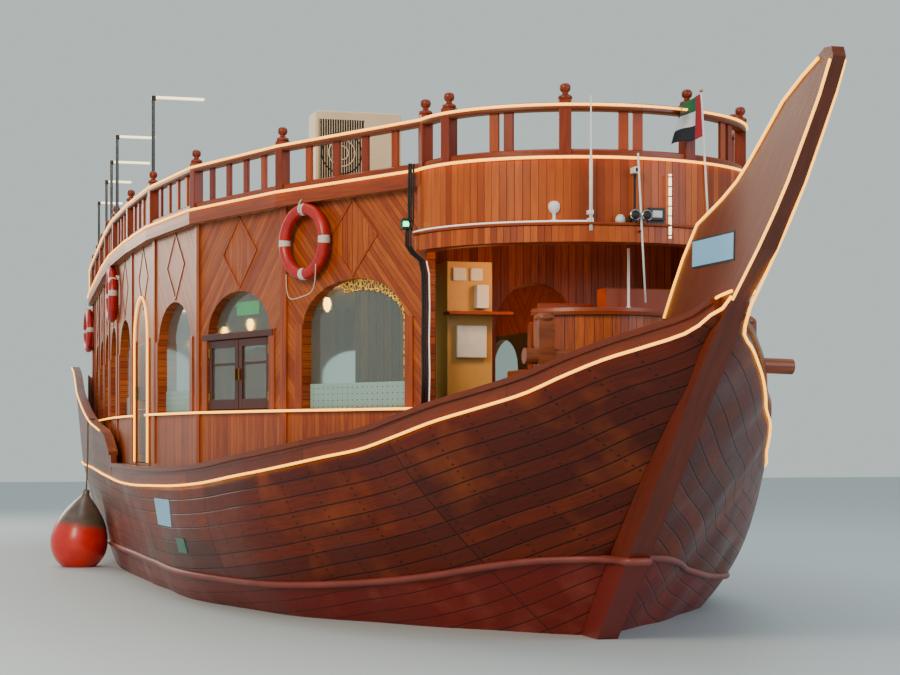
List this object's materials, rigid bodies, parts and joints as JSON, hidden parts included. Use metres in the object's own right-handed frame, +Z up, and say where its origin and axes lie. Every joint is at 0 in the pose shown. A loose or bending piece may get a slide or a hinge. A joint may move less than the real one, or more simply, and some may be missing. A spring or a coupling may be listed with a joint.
{
  "type": "motorised wooden dhow",
  "caption": "Motorised wooden dinner-cruise dhow without mast or sail: planked hull, scrolled prow, glazed saloon, railed upper deck, rudder and propeller.",
  "frame": {"origin": "amidships on the centreline, on the waterline", "axes": "+X forward to the bow, +Y to port, +Z up"},
  "size_m": [22.9405, 7.8725, 7.315],
  "materials": {
    "hull_wood": "varnished dark above the boot rail, antifouling red below",
    "timber": "oiled",
    "teak": "varnished",
    "deck": "bare planks",
    "glass": "clear",
    "cream_metal": "satin",
    "bronze": "cast",
    "red_vinyl": "satin",
    "ring_foam": "red with white bands",
    "flag_cloth": "dyed"
  },
  "bodies": {
    "boat": {"hull": "hull_wood", "keel_stem_prow": "timber", "taffrail": "timber", "cross_beam": "timber", "saloon_floor": "deck", "bulkhead_fore": "teak", "bulkhead_aft": "teak", "upper_deck": "deck", "fascia": "teak", "flag": "flag_cloth", "helm": "teak", "ac_unit": "cream_metal", "bulwark_stbd": "timber", "wall_fore_stbd": "teak", "wall_mid_stbd": "teak", "wall_aft_stbd": "teak", "glazing_fore_stbd": "glass", "glazing_mid_stbd": "glass", "glazing_aft_stbd": "glass", "railing_stbd": "teak", "fender_stbd": "red_vinyl", "lifebuoy_1_stbd": "ring_foam", "lifebuoy_2_stbd": "ring_foam", "lifebuoy_3_stbd": "ring_foam", "bulwark_port": "timber", "wall_fore_port": "teak", "wall_mid_port": "teak", "wall_aft_port": "teak", "glazing_fore_port": "glass", "glazing_mid_port": "glass", "glazing_aft_port": "glass", "railing_port": "teak", "fender_port": "red_vinyl", "lifebuoy_1_port": "ring_foam", "lifebuoy_2_port": "ring_foam", "lifebuoy_3_port": "ring_foam"},
    "hatch_fore_stbd": {"hatch_fore_stbd": "teak"},
    "hatch_aft_stbd": {"hatch_aft_stbd": "teak"},
    "side_door_stbd": {"side_door_stbd": "teak"},
    "hatch_fore_port": {"hatch_fore_port": "teak"},
    "hatch_aft_port": {"hatch_aft_port": "teak"},
    "side_door_port": {"side_door_port": "teak"},
    "aft_door": {"aft_door": "teak"},
    "rudder": {"rudder": "hull_wood"},
    "propeller": {"propeller": "bronze"}
  },
  "joints": [
    {"name": "hatch_fore_stbd_hinge", "type": "hinge", "parent": "boat", "child": "hatch_fore_stbd", "pos_m": [4.12804, -2.53932, 2.5], "axis": [0, 0, 1], "range_deg": [0, 100]},
    {"name": "hatch_aft_stbd_hinge", "type": "hinge", "parent": "boat", "child": "hatch_aft_stbd", "pos_m": [2.85899, -2.95052, 2.5], "axis": [0, 0, -1], "range_deg": [0, 100]},
    {"name": "side_door_stbd_hinge", "type": "hinge", "parent": "boat", "child": "side_door_stbd", "pos_m": [0.28818, -3.24857, 2.4], "axis": [0, 0, 1], "range_deg": [0, 100]},
    {"name": "hatch_fore_port_hinge", "type": "hinge", "parent": "boat", "child": "hatch_fore_port", "pos_m": [4.12804, 2.53932, 2.5], "axis": [0, 0, -1], "range_deg": [0, 100]},
    {"name": "hatch_aft_port_hinge", "type": "hinge", "parent": "boat", "child": "hatch_aft_port", "pos_m": [2.85899, 2.95052, 2.5], "axis": [0, 0, 1], "range_deg": [0, 100]},
    {"name": "side_door_port_hinge", "type": "hinge", "parent": "boat", "child": "side_door_port", "pos_m": [0.28818, 3.24857, 2.4], "axis": [0, 0, -1], "range_deg": [0, 100]},
    {"name": "aft_door_hinge", "type": "hinge", "parent": "boat", "child": "aft_door", "pos_m": [-9.979, 0.42, 2.4], "axis": [0, 0, -1], "range_deg": [0, 100]},
    {"name": "rudder_turn", "type": "hinge", "parent": "boat", "child": "rudder", "pos_m": [-9.9, 0, -0.5], "axis": [0, 0, 1], "range_deg": [-35, 35]},
    {"name": "propeller_spin", "type": "hinge", "parent": "boat", "child": "propeller", "pos_m": [-9.33, 0, -0.86], "axis": [1, 0, 0], "continuous": true}
  ]
}
